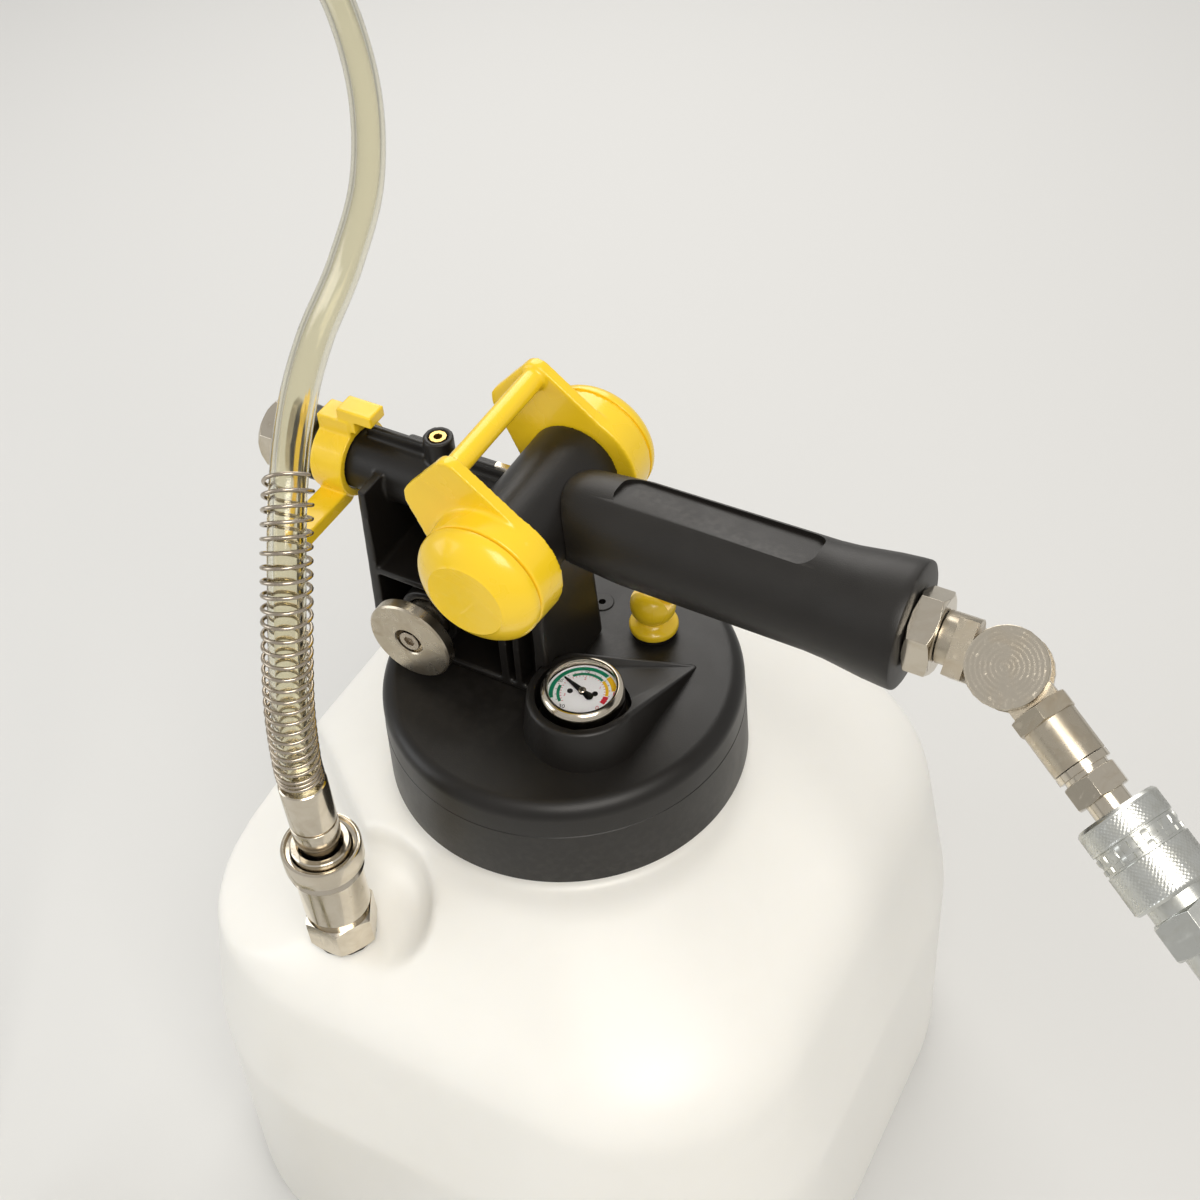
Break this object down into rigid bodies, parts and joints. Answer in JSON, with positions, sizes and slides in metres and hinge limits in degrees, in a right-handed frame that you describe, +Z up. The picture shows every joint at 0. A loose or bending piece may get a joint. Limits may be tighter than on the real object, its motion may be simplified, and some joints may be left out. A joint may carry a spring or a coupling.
{
  "type": "fluid extractor",
  "caption": "Air driven fluid extractor: translucent square reservoir, black screw lid with vacuum gauge, ribbed head, yellow bail lever, grip, swivel air inlet, clear hose in a spring guard.",
  "frame": {"origin": "on the floor under the middle of the reservoir, on the axis of the screw lid", "axes": "+X along the grip towards the air inlet, +Y along the cross barrel away from the selector knob, +Z up"},
  "size_m": [0.4872, 0.4132, 0.4579],
  "materials": {
    "tank_milky": "translucent satin",
    "black_moulding": "fine satin",
    "yellow_moulding": "gloss",
    "nickel_plate": "polished",
    "bright_steel": "satin",
    "zinc": "satin",
    "brass": "satin",
    "black_rubber": "matte",
    "clear_vinyl": "clear gloss",
    "clear_lens": "clear",
    "dial_print": "printed",
    "needle_black": "matte",
    "sintered": "granular"
  },
  "bodies": {
    "extractor": {"reservoir_tank": "tank_milky", "lid": "black_moulding", "head_housing": "black_moulding", "grip_shell": "black_moulding", "relief_seat": "black_moulding", "float_cage": "black_moulding", "gauge_case": "black_moulding", "socket_body": "nickel_plate", "socket_nut": "nickel_plate", "hose_ferrule": "nickel_plate", "muffler": "nickel_plate", "gauge_bezel": "nickel_plate", "hose_connector": "nickel_plate", "inlet_fitting": "nickel_plate", "spring_guard": "bright_steel", "venturi_nozzle": "brass", "venturi_diffuser": "brass", "rail_insert": "brass", "neck_gasket": "black_rubber", "port_seal": "black_rubber", "socket_washer": "black_rubber", "hose_tie": "black_rubber", "hose_run": "clear_vinyl", "hose_coil": "clear_vinyl", "dip_tube": "clear_vinyl", "gauge_lens": "clear_lens", "gauge_dial": "dial_print", "muffler_element": "sintered"},
    "bail": {"bail_lever": "yellow_moulding", "front_hub_cap": "yellow_moulding", "rear_hub_cap": "yellow_moulding", "valve_rotor": "zinc", "rotor_seal_front": "black_rubber", "rotor_seal_rear": "black_rubber"},
    "selector": {"selector_knob": "zinc", "selector_spool": "zinc", "knob_screw": "bright_steel", "spool_seal_front": "black_rubber", "spool_seal_rear": "black_rubber"},
    "clip": {"tube_clip": "yellow_moulding"},
    "needle": {"gauge_needle": "needle_black"},
    "relief": {"relief_cap": "yellow_moulding", "relief_disc": "black_rubber"},
    "float": {"float_bob": "dial_print"},
    "swivel": {"swivel_block": "zinc", "knuckle_pin": "bright_steel"},
    "leg": {"swivel_leg": "zinc", "air_plug": "bright_steel", "air_coupler_body": "bright_steel"},
    "air_sleeve": {"air_coupler_sleeve": "bright_steel"},
    "hose_sleeve": {"socket_sleeve": "nickel_plate"}
  },
  "joints": [
    {"name": "bail_hinge", "type": "hinge", "parent": "extractor", "child": "bail", "pos_m": [0, 0, 0.3256], "axis": [0, 1, 0], "range_deg": [0, 65]},
    {"name": "selector_slide", "type": "slide", "parent": "extractor", "child": "selector", "axis": [0, 1, 0], "range_m": [0, 0.006]},
    {"name": "clip_hinge", "type": "hinge", "parent": "extractor", "child": "clip", "pos_m": [-0.08, 0.006, 0.312], "axis": [-1, 0, 0], "range_deg": [0, 60]},
    {"name": "needle_hinge", "type": "hinge", "parent": "extractor", "child": "needle", "pos_m": [0.0195, -0.019, 0.268], "axis": [0, 0, -1], "range_deg": [0, 270], "stiffness_Nm_per_rad": 0.000001},
    {"name": "relief_slide", "type": "slide", "parent": "extractor", "child": "relief", "axis": [0, 0, 1], "range_m": [0, 0.003]},
    {"name": "float_slide", "type": "slide", "parent": "extractor", "child": "float", "axis": [0, 0, 1], "range_m": [0, 0.018]},
    {"name": "swivel_turn", "type": "hinge", "parent": "extractor", "child": "swivel", "pos_m": [0.132, 0, 0.3256], "axis": [1, 0, 0], "continuous": true},
    {"name": "leg_hinge", "type": "hinge", "parent": "swivel", "child": "leg", "pos_m": [0.148, -0.0023, 0.32367], "axis": [0, -0.6428, 0.766], "range_deg": [-40, 110]},
    {"name": "air_sleeve_slide", "type": "slide", "parent": "leg", "child": "air_sleeve", "axis": [0.8192, -0.4394, -0.3687], "range_m": [0, 0.0035], "stiffness_N_per_m": 800},
    {"name": "hose_sleeve_slide", "type": "slide", "parent": "extractor", "child": "hose_sleeve", "axis": [0, 0, -1], "range_m": [0, 0.003], "stiffness_N_per_m": 800}
  ]
}
